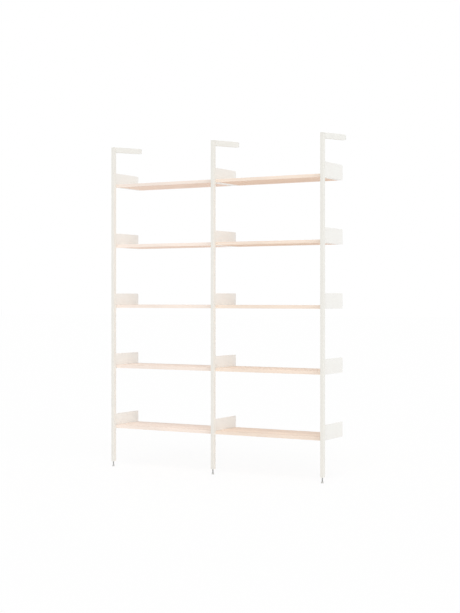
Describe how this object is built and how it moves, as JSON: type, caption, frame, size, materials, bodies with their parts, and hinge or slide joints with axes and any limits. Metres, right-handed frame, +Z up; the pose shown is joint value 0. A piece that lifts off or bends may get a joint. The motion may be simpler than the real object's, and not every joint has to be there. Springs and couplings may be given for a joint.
{
  "type": "wall shelving unit",
  "caption": "Open wall shelving: slim grooved columns on levelling feet, tied to the wall by short arms, carry timber boards on folded side-plate brackets that slide to any height.",
  "frame": {"origin": "on the floor under the middle column, half-way from the columns' front faces to the wall", "axes": "+X to the right along the unit, +Y from the front to the wall, +Z up"},
  "size_m": [1.54, 0.333, 2.1162],
  "materials": {
    "column_powder_coat": "warm white satin powder coat on extruded aluminium",
    "arm_powder_coat": "warm white satin powder coat",
    "bracket_powder_coat": "warm white satin powder coat on folded steel sheet",
    "board_timber": "pale timber with a clear matt lacquer",
    "anchor_powder_coat": "warm white satin powder coat",
    "set_screw_steel": "plain",
    "insert_nylon": "moulded",
    "spindle_zinc": "zinc plated",
    "glide_plastic": "moulded"
  },
  "bodies": {
    "frame": {"column_left": "column_powder_coat", "wall_arm_left": "arm_powder_coat", "wall_anchor_left": "anchor_powder_coat", "arm_set_screw_left": "set_screw_steel", "foot_insert_left": "insert_nylon", "column_middle": "column_powder_coat", "wall_arm_middle": "arm_powder_coat", "wall_anchor_middle": "anchor_powder_coat", "arm_set_screw_middle": "set_screw_steel", "foot_insert_middle": "insert_nylon", "column_right": "column_powder_coat", "wall_arm_right": "arm_powder_coat", "wall_anchor_right": "anchor_powder_coat", "arm_set_screw_right": "set_screw_steel", "foot_insert_right": "insert_nylon"},
    "carriage_left_1": {"shelf_left_1": "board_timber", "bracket_left_1_left": "bracket_powder_coat", "bracket_left_1_right": "bracket_powder_coat"},
    "carriage_left_2": {"shelf_left_2": "board_timber", "bracket_left_2_left": "bracket_powder_coat", "bracket_left_2_right": "bracket_powder_coat"},
    "carriage_left_3": {"shelf_left_3": "board_timber", "bracket_left_3_left": "bracket_powder_coat", "bracket_left_3_right": "bracket_powder_coat"},
    "carriage_left_4": {"shelf_left_4": "board_timber", "bracket_left_4_left": "bracket_powder_coat", "bracket_left_4_right": "bracket_powder_coat"},
    "carriage_left_5": {"shelf_left_5": "board_timber", "bracket_left_5_left": "bracket_powder_coat", "bracket_left_5_right": "bracket_powder_coat"},
    "carriage_right_1": {"shelf_right_1": "board_timber", "bracket_right_1_left": "bracket_powder_coat", "bracket_right_1_right": "bracket_powder_coat"},
    "carriage_right_2": {"shelf_right_2": "board_timber", "bracket_right_2_left": "bracket_powder_coat", "bracket_right_2_right": "bracket_powder_coat"},
    "carriage_right_3": {"shelf_right_3": "board_timber", "bracket_right_3_left": "bracket_powder_coat", "bracket_right_3_right": "bracket_powder_coat"},
    "carriage_right_4": {"shelf_right_4": "board_timber", "bracket_right_4_left": "bracket_powder_coat", "bracket_right_4_right": "bracket_powder_coat"},
    "carriage_right_5": {"shelf_right_5": "board_timber", "bracket_right_5_left": "bracket_powder_coat", "bracket_right_5_right": "bracket_powder_coat"},
    "glide_left": {"foot_glide_left": "glide_plastic"},
    "spindle_left": {"foot_spindle_left": "spindle_zinc"},
    "glide_middle": {"foot_glide_middle": "glide_plastic"},
    "spindle_middle": {"foot_spindle_middle": "spindle_zinc"},
    "glide_right": {"foot_glide_right": "glide_plastic"},
    "spindle_right": {"foot_spindle_right": "spindle_zinc"}
  },
  "joints": [
    {"name": "shelf_left_1_height", "type": "slide", "parent": "frame", "child": "carriage_left_1", "axis": [0, 0, 1], "range_m": [-0.125, 0.125]},
    {"name": "shelf_left_2_height", "type": "slide", "parent": "frame", "child": "carriage_left_2", "axis": [0, 0, 1], "range_m": [-0.125, 0.125]},
    {"name": "shelf_left_3_height", "type": "slide", "parent": "frame", "child": "carriage_left_3", "axis": [0, 0, 1], "range_m": [-0.125, 0.125]},
    {"name": "shelf_left_4_height", "type": "slide", "parent": "frame", "child": "carriage_left_4", "axis": [0, 0, 1], "range_m": [-0.125, 0.125]},
    {"name": "shelf_left_5_height", "type": "slide", "parent": "frame", "child": "carriage_left_5", "axis": [0, 0, 1], "range_m": [-0.125, 0.125]},
    {"name": "shelf_right_1_height", "type": "slide", "parent": "frame", "child": "carriage_right_1", "axis": [0, 0, 1], "range_m": [-0.125, 0.125]},
    {"name": "shelf_right_2_height", "type": "slide", "parent": "frame", "child": "carriage_right_2", "axis": [0, 0, 1], "range_m": [-0.125, 0.125]},
    {"name": "shelf_right_3_height", "type": "slide", "parent": "frame", "child": "carriage_right_3", "axis": [0, 0, 1], "range_m": [-0.125, 0.125]},
    {"name": "shelf_right_4_height", "type": "slide", "parent": "frame", "child": "carriage_right_4", "axis": [0, 0, 1], "range_m": [-0.125, 0.125]},
    {"name": "shelf_right_5_height", "type": "slide", "parent": "frame", "child": "carriage_right_5", "axis": [0, 0, 1], "range_m": [-0.125, 0.125]},
    {"name": "foot_left_height", "type": "slide", "parent": "frame", "child": "glide_left", "axis": [0, 0, 1], "range_m": [-0.015, 0.01]},
    {"name": "foot_left_turn", "type": "hinge", "parent": "glide_left", "child": "spindle_left", "pos_m": [-0.76, -0.1559, 0.005], "axis": [0, 0, 1], "continuous": true},
    {"name": "foot_middle_height", "type": "slide", "parent": "frame", "child": "glide_middle", "axis": [0, 0, 1], "range_m": [-0.015, 0.01]},
    {"name": "foot_middle_turn", "type": "hinge", "parent": "glide_middle", "child": "spindle_middle", "pos_m": [0, -0.1559, 0.005], "axis": [0, 0, 1], "continuous": true},
    {"name": "foot_right_height", "type": "slide", "parent": "frame", "child": "glide_right", "axis": [0, 0, 1], "range_m": [-0.015, 0.01]},
    {"name": "foot_right_turn", "type": "hinge", "parent": "glide_right", "child": "spindle_right", "pos_m": [0.76, -0.1559, 0.005], "axis": [0, 0, 1], "continuous": true}
  ],
  "couplings": [
    {"joint": "foot_left_turn", "follows": "foot_left_height", "rad_per_m": 5026.5},
    {"joint": "foot_middle_turn", "follows": "foot_middle_height", "rad_per_m": 5026.5},
    {"joint": "foot_right_turn", "follows": "foot_right_height", "rad_per_m": 5026.5}
  ]
}
